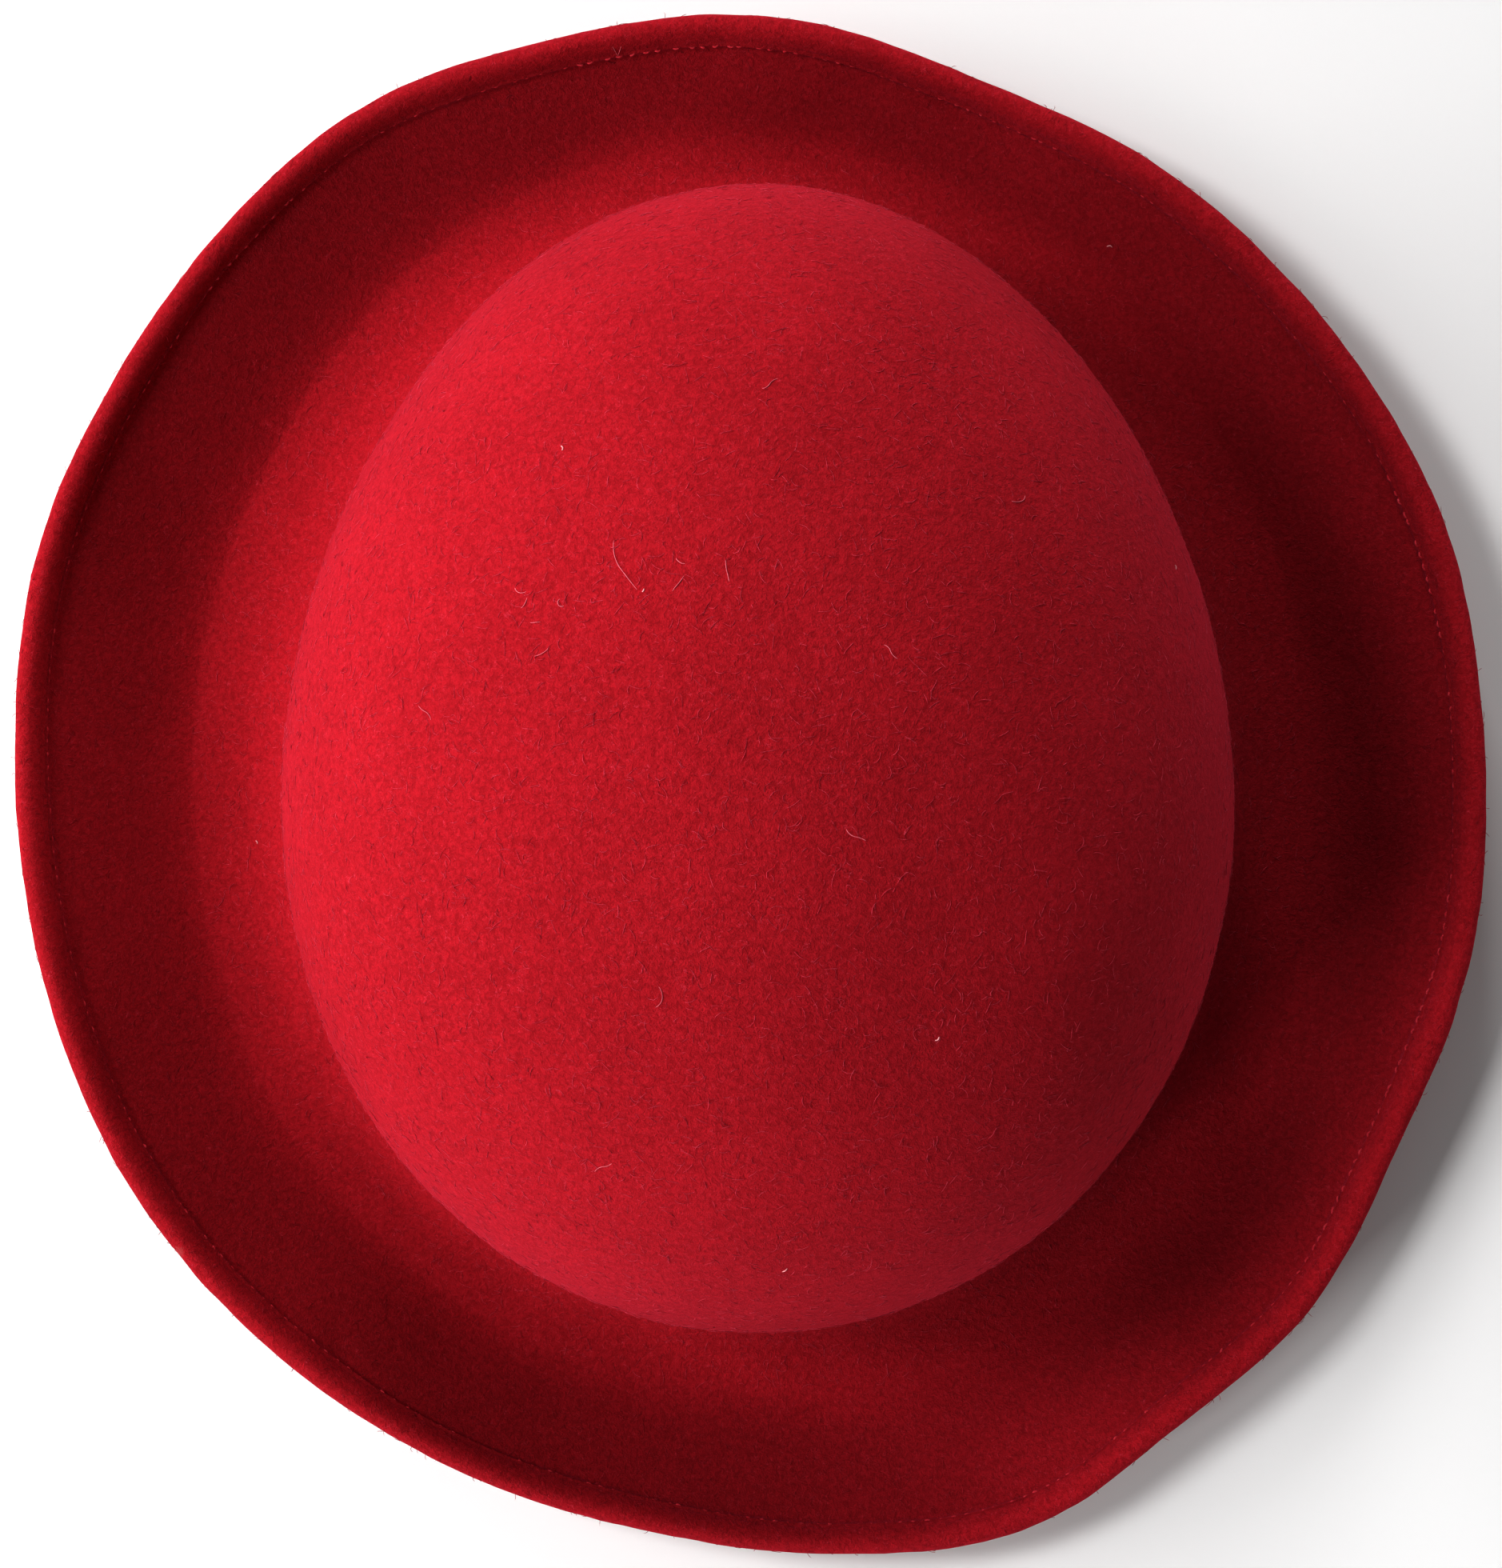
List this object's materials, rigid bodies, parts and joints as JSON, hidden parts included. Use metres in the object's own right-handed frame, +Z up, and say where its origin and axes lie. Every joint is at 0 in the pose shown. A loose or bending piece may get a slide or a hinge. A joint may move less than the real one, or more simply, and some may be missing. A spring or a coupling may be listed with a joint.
{
  "type": "wool felt hat",
  "caption": "Wool felt hat with a smooth round crown and a wavy brim turned up all round, its edge folded over as a narrow hem.",
  "frame": {"origin": "middle of the hat's box, on the plane of the flat ring that the brim stands on", "axes": "+Z up out of the crown, +Y to the front of the hat along the head, +X to the wearer's right"},
  "size_m": [0.2672, 0.282, 0.1166],
  "materials": {
    "red_felt": "matt red wool felt with a fine, slightly downy nap"
  },
  "bodies": {
    "root": {"crown_and_brim": "red_felt"}
  },
  "joints": []
}
